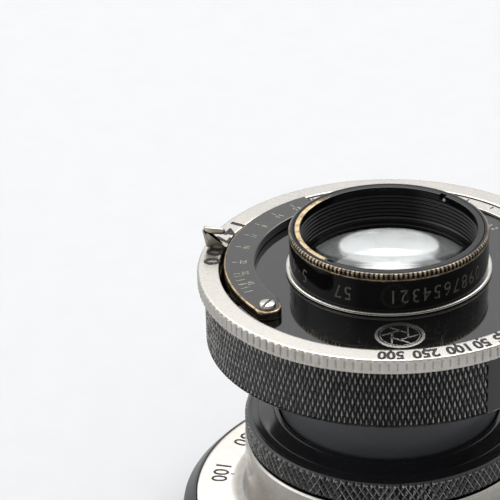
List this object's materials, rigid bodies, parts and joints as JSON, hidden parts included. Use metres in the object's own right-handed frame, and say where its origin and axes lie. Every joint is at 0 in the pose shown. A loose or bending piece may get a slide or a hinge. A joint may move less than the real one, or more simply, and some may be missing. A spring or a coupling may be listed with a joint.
{
  "type": "photographic lens in leaf shutter",
  "caption": "Photographic lens in a rim-set leaf shutter on a helical focusing mount, with a knurled housing, a nickel speed ring and a black front cell.",
  "frame": {"origin": "on the optical axis, at the rear face of the base ring", "axes": "+Z along the optical axis towards the subject; the speed figures' largest value lies towards -Y"},
  "size_m": [0.0566, 0.0566, 0.0442],
  "materials": {
    "black_lacquer": "worn black lacquer over brass",
    "black_enamel": "gloss black enamel over brass",
    "satin_black": "satin black lacquer",
    "nickel_plate": "satin nickel plate over brass",
    "brass": "turned, aged",
    "blued_steel": "blued",
    "spring_steel": "bright",
    "optical_glass": "polished, uncoated"
  },
  "bodies": {
    "focus_mount": {"base_ring": "black_lacquer", "distance_flange": "nickel_plate", "flange_screw_1": "blued_steel", "flange_screw_2": "blued_steel", "flange_screw_3": "blued_steel", "flange_screw_4": "blued_steel", "focus_lock_ring": "brass", "focus_stop_pin": "spring_steel", "guide_key": "brass", "guide_key_screw": "spring_steel"},
    "focus_ring": {"focus_ring": "black_enamel"},
    "lens_head": {"lens_barrel": "satin_black", "shutter_lock_ring": "brass", "shutter_housing": "black_lacquer", "cable_release_socket": "nickel_plate", "iris_base_ring": "brass", "mechanism_plate": "brass", "main_spring": "spring_steel", "release_pivot": "spring_steel", "release_spring": "spring_steel", "faceplate": "black_enamel", "aperture_scale_plate": "black_enamel", "scale_screw": "brass", "scale_arc": "nickel_plate", "front_cell_barrel": "black_lacquer", "front_seat_ring": "nickel_plate", "front_retaining_ring": "brass", "front_element": "optical_glass", "front_spacer_ring": "brass", "second_element": "optical_glass", "rear_cell_barrel": "black_lacquer", "rear_flint_element": "optical_glass", "rear_crown_element": "optical_glass", "rear_retaining_ring": "brass"},
    "speed_ring": {"speed_ring": "nickel_plate", "speed_cam_ring": "brass"},
    "aperture_ring": {"aperture_ring": "brass", "aperture_pointer": "nickel_plate"},
    "cocking_lever": {"cocking_ring": "spring_steel", "cocking_lever": "nickel_plate"},
    "release_lever": {"release_lever": "nickel_plate"},
    "blade_ring": {"blade_ring": "spring_steel"},
    "iris_blade_1": {"iris_blade_1": "blued_steel"},
    "iris_blade_2": {"iris_blade_2": "blued_steel"},
    "iris_blade_3": {"iris_blade_3": "blued_steel"},
    "iris_blade_4": {"iris_blade_4": "blued_steel"},
    "iris_blade_5": {"iris_blade_5": "blued_steel"},
    "iris_blade_6": {"iris_blade_6": "blued_steel"},
    "iris_blade_7": {"iris_blade_7": "blued_steel"},
    "iris_blade_8": {"iris_blade_8": "blued_steel"},
    "shutter_blade_1": {"shutter_blade_1": "blued_steel"},
    "shutter_blade_2": {"shutter_blade_2": "blued_steel"},
    "shutter_blade_3": {"shutter_blade_3": "blued_steel"},
    "shutter_blade_4": {"shutter_blade_4": "blued_steel"},
    "shutter_blade_5": {"shutter_blade_5": "blued_steel"}
  },
  "joints": [
    {"name": "focus_turn", "type": "hinge", "parent": "focus_mount", "child": "focus_ring", "pos_m": [0, 0, 0.0154], "axis": [0, 0, 1], "range_deg": [0, 220]},
    {"name": "lens_slide", "type": "slide", "parent": "focus_mount", "child": "lens_head", "axis": [0, 0, 1], "range_m": [0, 0.0055]},
    {"name": "speed_turn", "type": "hinge", "parent": "lens_head", "child": "speed_ring", "pos_m": [0, 0, 0.038], "axis": [0, 0, 1], "range_deg": [-76, 17]},
    {"name": "aperture_turn", "type": "hinge", "parent": "lens_head", "child": "aperture_ring", "pos_m": [0, 0, 0.0325], "axis": [0, 0, 1], "range_deg": [-21.5, 36.5]},
    {"name": "iris_blade_1_pivot", "type": "hinge", "parent": "lens_head", "child": "iris_blade_1", "pos_m": [0.0153, 0, 0.0304], "axis": [0, 0, 1], "range_deg": [-11.2, 19]},
    {"name": "iris_blade_2_pivot", "type": "hinge", "parent": "lens_head", "child": "iris_blade_2", "pos_m": [0.01082, 0.01082, 0.03062], "axis": [0, 0, 1], "range_deg": [-11.2, 19]},
    {"name": "iris_blade_3_pivot", "type": "hinge", "parent": "lens_head", "child": "iris_blade_3", "pos_m": [0, 0.0153, 0.03084], "axis": [0, 0, 1], "range_deg": [-11.2, 19]},
    {"name": "iris_blade_4_pivot", "type": "hinge", "parent": "lens_head", "child": "iris_blade_4", "pos_m": [-0.01082, 0.01082, 0.03106], "axis": [0, 0, 1], "range_deg": [-11.2, 19]},
    {"name": "iris_blade_5_pivot", "type": "hinge", "parent": "lens_head", "child": "iris_blade_5", "pos_m": [-0.0153, 0, 0.03128], "axis": [0, 0, 1], "range_deg": [-11.2, 19]},
    {"name": "iris_blade_6_pivot", "type": "hinge", "parent": "lens_head", "child": "iris_blade_6", "pos_m": [-0.01082, -0.01082, 0.0315], "axis": [0, 0, 1], "range_deg": [-11.2, 19]},
    {"name": "iris_blade_7_pivot", "type": "hinge", "parent": "lens_head", "child": "iris_blade_7", "pos_m": [0, -0.0153, 0.03172], "axis": [0, 0, 1], "range_deg": [-11.2, 19]},
    {"name": "iris_blade_8_pivot", "type": "hinge", "parent": "lens_head", "child": "iris_blade_8", "pos_m": [0.01082, -0.01082, 0.03194], "axis": [0, 0, 1], "range_deg": [-11.2, 19]},
    {"name": "cocking_swing", "type": "hinge", "parent": "lens_head", "child": "cocking_lever", "pos_m": [0, 0, 0.0345], "axis": [0, 0, 1], "range_deg": [0, 38], "stiffness_Nm_per_rad": 0.02, "springref_deg": -5.73},
    {"name": "release_swing", "type": "hinge", "parent": "lens_head", "child": "release_lever", "pos_m": [0.01849, -0.00862, 0.031], "axis": [0, 0, 1], "range_deg": [0, 18], "stiffness_Nm_per_rad": 0.005, "springref_deg": -5.73},
    {"name": "blade_ring_turn", "type": "hinge", "parent": "lens_head", "child": "blade_ring", "pos_m": [0, 0, 0.035], "axis": [0, 0, 1], "range_deg": [0, 20], "stiffness_Nm_per_rad": 0.002, "springref_deg": -5.73},
    {"name": "shutter_blade_1_pivot", "type": "hinge", "parent": "lens_head", "child": "shutter_blade_1", "pos_m": [0.01588, 0.00578, 0.03362], "axis": [0, 0, 1], "range_deg": [-32.1, 0]},
    {"name": "shutter_blade_2_pivot", "type": "hinge", "parent": "lens_head", "child": "shutter_blade_2", "pos_m": [-0.00059, 0.01689, 0.03384], "axis": [0, 0, 1], "range_deg": [-32.1, 0]},
    {"name": "shutter_blade_3_pivot", "type": "hinge", "parent": "lens_head", "child": "shutter_blade_3", "pos_m": [-0.01625, 0.00466, 0.03406], "axis": [0, 0, 1], "range_deg": [-32.1, 0]},
    {"name": "shutter_blade_4_pivot", "type": "hinge", "parent": "lens_head", "child": "shutter_blade_4", "pos_m": [-0.00945, -0.01401, 0.03428], "axis": [0, 0, 1], "range_deg": [-32.1, 0]},
    {"name": "shutter_blade_5_pivot", "type": "hinge", "parent": "lens_head", "child": "shutter_blade_5", "pos_m": [0.0104, -0.01332, 0.0345], "axis": [0, 0, 1], "range_deg": [-32.1, 0]}
  ],
  "couplings": [
    {"joint": "lens_slide", "follows": "focus_turn", "m_per_rad": 0.001432},
    {"joint": "iris_blade_1_pivot", "follows": "aperture_turn", "ratio": 0.5172},
    {"joint": "iris_blade_2_pivot", "follows": "aperture_turn", "ratio": 0.5172},
    {"joint": "iris_blade_3_pivot", "follows": "aperture_turn", "ratio": 0.5172},
    {"joint": "iris_blade_4_pivot", "follows": "aperture_turn", "ratio": 0.5172},
    {"joint": "iris_blade_5_pivot", "follows": "aperture_turn", "ratio": 0.5172},
    {"joint": "iris_blade_6_pivot", "follows": "aperture_turn", "ratio": 0.5172},
    {"joint": "iris_blade_7_pivot", "follows": "aperture_turn", "ratio": 0.5172},
    {"joint": "iris_blade_8_pivot", "follows": "aperture_turn", "ratio": 0.5172},
    {"joint": "shutter_blade_1_pivot", "follows": "blade_ring_turn", "ratio": -1.6},
    {"joint": "shutter_blade_2_pivot", "follows": "blade_ring_turn", "ratio": -1.6},
    {"joint": "shutter_blade_3_pivot", "follows": "blade_ring_turn", "ratio": -1.6},
    {"joint": "shutter_blade_4_pivot", "follows": "blade_ring_turn", "ratio": -1.6},
    {"joint": "shutter_blade_5_pivot", "follows": "blade_ring_turn", "ratio": -1.6}
  ]
}
